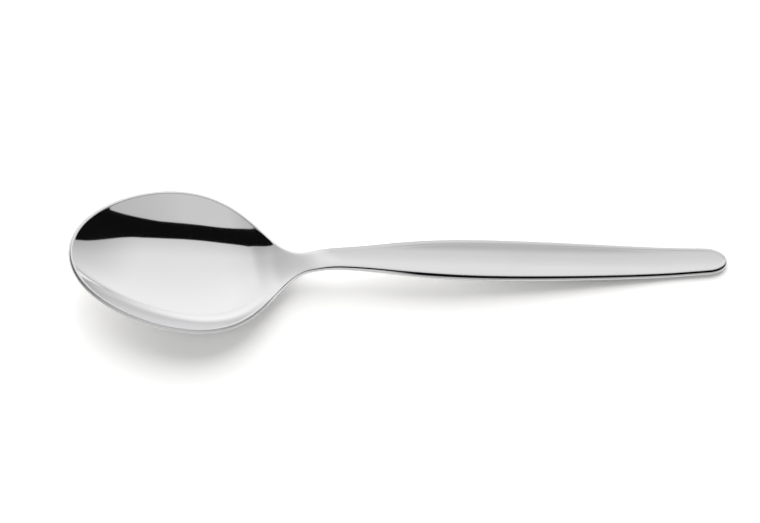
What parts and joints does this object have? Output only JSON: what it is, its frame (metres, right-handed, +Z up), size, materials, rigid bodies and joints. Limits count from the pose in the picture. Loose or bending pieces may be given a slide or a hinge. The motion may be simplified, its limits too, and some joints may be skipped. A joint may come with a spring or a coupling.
{
  "type": "teaspoon",
  "caption": "Plain polished steel teaspoon: an egg-shaped bowl, a narrow neck and a slim handle that widens and tapers to a round end.",
  "frame": {"origin": "on the table the spoon lies on, under the middle of its length and width", "axes": "+X along the spoon from the bowl's tip to the handle's end, +Y across it, +Z up out of the bowl"},
  "size_m": [0.138, 0.031, 0.0114],
  "materials": {
    "steel": "mirror polished stainless steel"
  },
  "bodies": {
    "root": {"teaspoon": "steel"}
  },
  "joints": []
}
